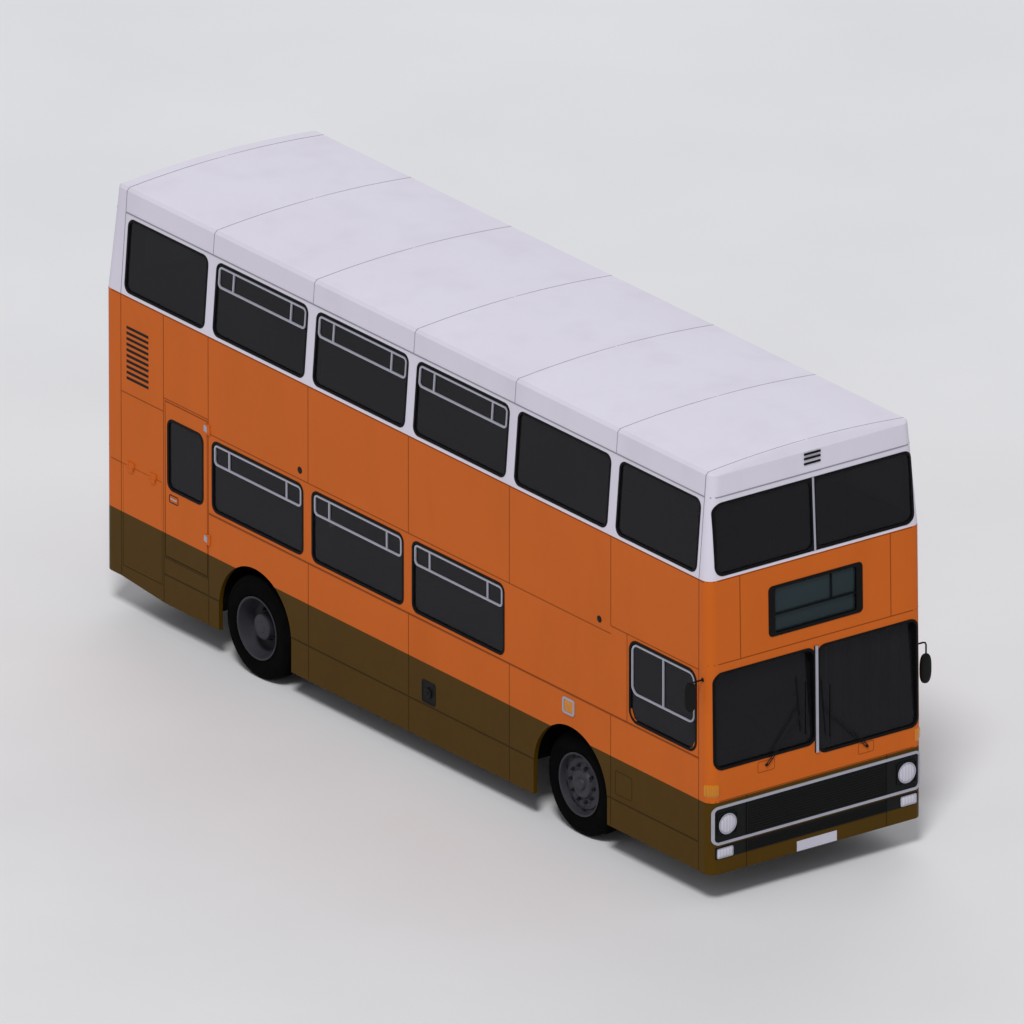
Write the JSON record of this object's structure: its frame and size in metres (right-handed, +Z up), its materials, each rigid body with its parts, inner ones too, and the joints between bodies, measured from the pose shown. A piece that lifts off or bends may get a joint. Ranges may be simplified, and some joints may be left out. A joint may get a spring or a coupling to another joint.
{
  "type": "double decker bus",
  "caption": "Rear-engined double decker bus with folding entrance doors, steered front wheels and twin rear wheels.",
  "frame": {"origin": "on the ground, at mid-length and on the centreline", "axes": "+X forward, +Y to the nearside (left), +Z up"},
  "size_m": [9.5408, 2.91, 4.35],
  "materials": {
    "paint_orange": "gloss",
    "paint_brown": "gloss",
    "paint_white": "gloss",
    "chassis_black": "matte",
    "deck_grey": "matte",
    "tinted_glass": "gloss",
    "blind_glass": "gloss",
    "black_plastic": "satin",
    "lamp_clear": "gloss",
    "lamp_amber": "gloss",
    "lamp_red": "gloss",
    "plate_white": "satin",
    "seat_cloth": "woven",
    "tyre_rubber": "matte",
    "rim_grey": "satin",
    "door_frame": "satin"
  },
  "bodies": {
    "body": {"chassis_frame": "chassis_black", "lower_deck_floor": "deck_grey", "entrance_step": "deck_grey", "wheel_boxes": "deck_grey", "upper_deck_floor": "deck_grey", "offside_skirt": "paint_brown", "nearside_skirt": "paint_brown", "offside_lower_side": "paint_orange", "nearside_lower_side": "paint_orange", "offside_upper_side": "paint_white", "nearside_upper_side": "paint_white", "roof": "paint_white", "front_lower_panel": "paint_orange", "destination_panel": "paint_orange", "front_upper_panel": "paint_white", "rear_lower_panel": "paint_orange", "rear_upper_panel": "paint_white", "windscreen": "tinted_glass", "lower_deck_windows": "tinted_glass", "upper_deck_windows": "tinted_glass", "destination_display": "blind_glass", "grille": "black_plastic", "front_lamps": "lamp_clear", "indicator_lamps": "lamp_amber", "rear_lamps": "lamp_red", "number_plates": "plate_white", "mirrors": "black_plastic", "wipers": "black_plastic", "staircase": "deck_grey", "lower_deck_seats": "seat_cloth", "upper_deck_seats": "seat_cloth", "driver_seat": "seat_cloth", "cab_partition": "deck_grey", "dashboard": "black_plastic", "engine": "chassis_black", "front_axle": "chassis_black", "rear_axle": "chassis_black"},
    "steering_wheel": {"steering_wheel": "black_plastic"},
    "knuckle_left": {"knuckle_left": "chassis_black"},
    "knuckle_right": {"knuckle_right": "chassis_black"},
    "tie_rod": {"tie_rod": "chassis_black"},
    "front_wheel_left": {"front_tyre_left": "tyre_rubber", "front_rim_left": "rim_grey"},
    "front_wheel_right": {"front_tyre_right": "tyre_rubber", "front_rim_right": "rim_grey"},
    "rear_wheels_left": {"rear_tyres_left": "tyre_rubber", "rear_rims_left": "rim_grey"},
    "rear_wheels_right": {"rear_tyres_right": "tyre_rubber", "rear_rims_right": "rim_grey"},
    "entrance_leaf_1": {"entrance_leaf_1": "door_frame"},
    "entrance_leaf_2": {"entrance_leaf_2": "door_frame"},
    "entrance_leaf_3": {"entrance_leaf_3": "door_frame"},
    "entrance_leaf_4": {"entrance_leaf_4": "door_frame"},
    "emergency_door": {"emergency_door": "paint_orange"},
    "engine_cover": {"engine_cover": "paint_orange"},
    "engine_side_flap": {"engine_side_flap": "paint_orange"}
  },
  "joints": [
    {"name": "steer_left", "type": "hinge", "parent": "body", "child": "knuckle_left", "pos_m": [2.584, 0.81, 0.51], "axis": [0, 0, 1], "range_deg": [-36, 36]},
    {"name": "steer_right", "type": "hinge", "parent": "body", "child": "knuckle_right", "pos_m": [2.584, -0.81, 0.51], "axis": [0, 0, 1], "range_deg": [-36, 36]},
    {"name": "tie_rod_pivot", "type": "hinge", "parent": "knuckle_left", "child": "tie_rod", "pos_m": [2.394, 0.81, 0.4], "axis": [0, 0, 1], "range_deg": [-36, 36]},
    {"name": "front_wheel_left_spin", "type": "hinge", "parent": "knuckle_left", "child": "front_wheel_left", "pos_m": [2.584, 1.014, 0.51], "axis": [0, 1, 0], "continuous": true},
    {"name": "front_wheel_right_spin", "type": "hinge", "parent": "knuckle_right", "child": "front_wheel_right", "pos_m": [2.584, -1.014, 0.51], "axis": [0, 1, 0], "continuous": true},
    {"name": "rear_wheels_left_spin", "type": "hinge", "parent": "body", "child": "rear_wheels_left", "pos_m": [-2.366, 1.094, 0.51], "axis": [0, 1, 0], "continuous": true},
    {"name": "rear_wheels_right_spin", "type": "hinge", "parent": "body", "child": "rear_wheels_right", "pos_m": [-2.366, -1.094, 0.51], "axis": [0, 1, 0], "continuous": true},
    {"name": "steering_wheel_turn", "type": "hinge", "parent": "body", "child": "steering_wheel", "pos_m": [4.291, -0.72, 1.33], "axis": [-0.4695, 0, 0.8829], "range_deg": [-540, 540]},
    {"name": "entrance_leaf_1_hinge", "type": "hinge", "parent": "body", "child": "entrance_leaf_1", "pos_m": [4.464, 1.224, 1.3], "axis": [0, 0, 1], "range_deg": [0, 84]},
    {"name": "entrance_leaf_2_hinge", "type": "hinge", "parent": "entrance_leaf_1", "child": "entrance_leaf_2", "pos_m": [4.183, 1.245, 1.3], "axis": [0, 0, 1], "range_deg": [-168, 0]},
    {"name": "entrance_leaf_4_hinge", "type": "hinge", "parent": "body", "child": "entrance_leaf_4", "pos_m": [3.316, 1.224, 1.3], "axis": [0, 0, -1], "range_deg": [0, 84]},
    {"name": "entrance_leaf_3_hinge", "type": "hinge", "parent": "entrance_leaf_4", "child": "entrance_leaf_3", "pos_m": [3.597, 1.245, 1.3], "axis": [0, 0, -1], "range_deg": [-168, 0]},
    {"name": "emergency_door_hinge", "type": "hinge", "parent": "body", "child": "emergency_door", "pos_m": [-3.116, -1.26, 1.5], "axis": [0, 0, 1], "range_deg": [0, 95]},
    {"name": "engine_cover_hinge", "type": "hinge", "parent": "body", "child": "engine_cover", "pos_m": [-4.76, 0, 1.563], "axis": [0, 1, 0], "range_deg": [0, 80]},
    {"name": "engine_side_flap_hinge", "type": "hinge", "parent": "body", "child": "engine_side_flap", "pos_m": [-4.148, -1.26, 1.528], "axis": [-1, 0, 0], "range_deg": [0, 75]}
  ],
  "couplings": [
    {"joint": "steer_right", "follows": "steer_left", "ratio": 1},
    {"joint": "tie_rod_pivot", "follows": "steer_left", "ratio": -1},
    {"joint": "steering_wheel_turn", "follows": "steer_left", "ratio": 15},
    {"joint": "entrance_leaf_2_hinge", "follows": "entrance_leaf_1_hinge", "ratio": -2},
    {"joint": "entrance_leaf_3_hinge", "follows": "entrance_leaf_4_hinge", "ratio": -2}
  ]
}
